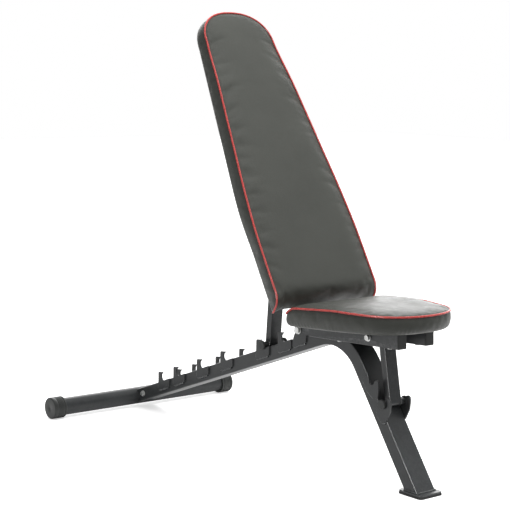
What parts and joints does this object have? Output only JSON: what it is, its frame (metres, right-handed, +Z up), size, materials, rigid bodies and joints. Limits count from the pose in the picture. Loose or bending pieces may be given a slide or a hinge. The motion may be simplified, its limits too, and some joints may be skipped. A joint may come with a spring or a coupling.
{
  "type": "adjustable incline and decline exercise bench",
  "caption": "Adjustable weight bench with a tapered padded backrest and a separate padded seat, both hinged on a bent steel spine with ladder-hook props.",
  "frame": {"origin": "on the floor, in the middle of the bench's overall length and width", "axes": "+X from the backrest side towards the seat front and the front foot, +Y to the left of someone sitting on the seat, +Z up"},
  "size_m": [1.188, 0.627, 1.1173],
  "materials": {
    "frame_paint": "satin black powder coat",
    "zinc": "bright zinc plate",
    "plastic": "matte black",
    "rubber": "matte",
    "vinyl": "satin charcoal upholstery vinyl",
    "board": "raw plywood"
  },
  "bodies": {
    "frame": {"main_tube": "frame_paint", "rear_stabilizer_tube": "frame_paint", "stabilizer_cap_right": "plastic", "stabilizer_cap_left": "plastic", "stabilizer_stub": "frame_paint", "stabilizer_bolt": "zinc", "stabilizer_nut": "zinc", "ladder_hook_1_right": "frame_paint", "ladder_hook_1_left": "frame_paint", "ladder_hook_2_right": "frame_paint", "ladder_hook_2_left": "frame_paint", "ladder_hook_3_right": "frame_paint", "ladder_hook_3_left": "frame_paint", "ladder_hook_4_right": "frame_paint", "ladder_hook_4_left": "frame_paint", "ladder_hook_5_right": "frame_paint", "ladder_hook_5_left": "frame_paint", "ladder_hook_6_right": "frame_paint", "ladder_hook_6_left": "frame_paint", "leg_hook_lower_right": "frame_paint", "leg_hook_lower_left": "frame_paint", "leg_hook_upper_right": "frame_paint", "leg_hook_upper_left": "frame_paint", "hinge_ear_right": "frame_paint", "hinge_ear_left": "frame_paint", "foot_plate": "frame_paint", "foot_pad": "rubber", "hinge_bolt": "zinc", "hinge_nut": "zinc", "hinge_sleeve": "zinc"},
    "seat": {"seat_rail_right": "frame_paint", "seat_rail_left": "frame_paint", "seat_rail_plug_right": "plastic", "seat_rail_plug_left": "plastic", "seat_board": "board", "seat_pad": "vinyl", "seat_screw_1": "zinc", "seat_screw_2": "zinc", "seat_screw_3": "zinc", "seat_screw_4": "zinc", "seat_strut_bolt": "zinc", "seat_strut_nut": "zinc", "seat_strut_spacer_right": "zinc", "seat_strut_spacer_left": "zinc"},
    "seat_strut": {"seat_strut_tube": "frame_paint", "seat_strut_crossbar": "frame_paint", "seat_strut_cap_right": "plastic", "seat_strut_cap_left": "plastic"},
    "backrest": {"back_frame_right": "frame_paint", "back_frame_left": "frame_paint", "back_board": "board", "back_pad": "vinyl", "back_strut_bolt": "zinc", "back_strut_nut": "zinc", "back_screw_right": "zinc", "back_screw_left": "zinc"},
    "back_strut": {"back_strut_tube": "frame_paint", "back_strut_crossbar": "frame_paint", "back_strut_cap_right": "plastic", "back_strut_cap_left": "plastic"}
  },
  "joints": [
    {"name": "backrest_hinge", "type": "hinge", "parent": "frame", "child": "backrest", "pos_m": [0.1586, 0, 0.3322], "axis": [0, -1, 0], "range_deg": [0, 67.47]},
    {"name": "back_strut_hinge", "type": "hinge", "parent": "backrest", "child": "back_strut", "pos_m": [0.03995, 0, 0.61352], "axis": [0, 1, 0], "range_deg": [0, 114.5]},
    {"name": "seat_hinge", "type": "hinge", "parent": "frame", "child": "seat", "pos_m": [0.1586, 0, 0.3322], "axis": [0, -1, 0], "range_deg": [0, 14]},
    {"name": "seat_strut_hinge", "type": "hinge", "parent": "seat", "child": "seat_strut", "pos_m": [0.4293, 0, 0.356], "axis": [0, 1, 0], "range_deg": [0, 12.7]}
  ],
  "couplings": [
    {"joint": "back_strut_hinge", "follows": "backrest_hinge", "ratio": 1.6953},
    {"joint": "seat_strut_hinge", "follows": "seat_hinge", "ratio": 0.9}
  ]
}
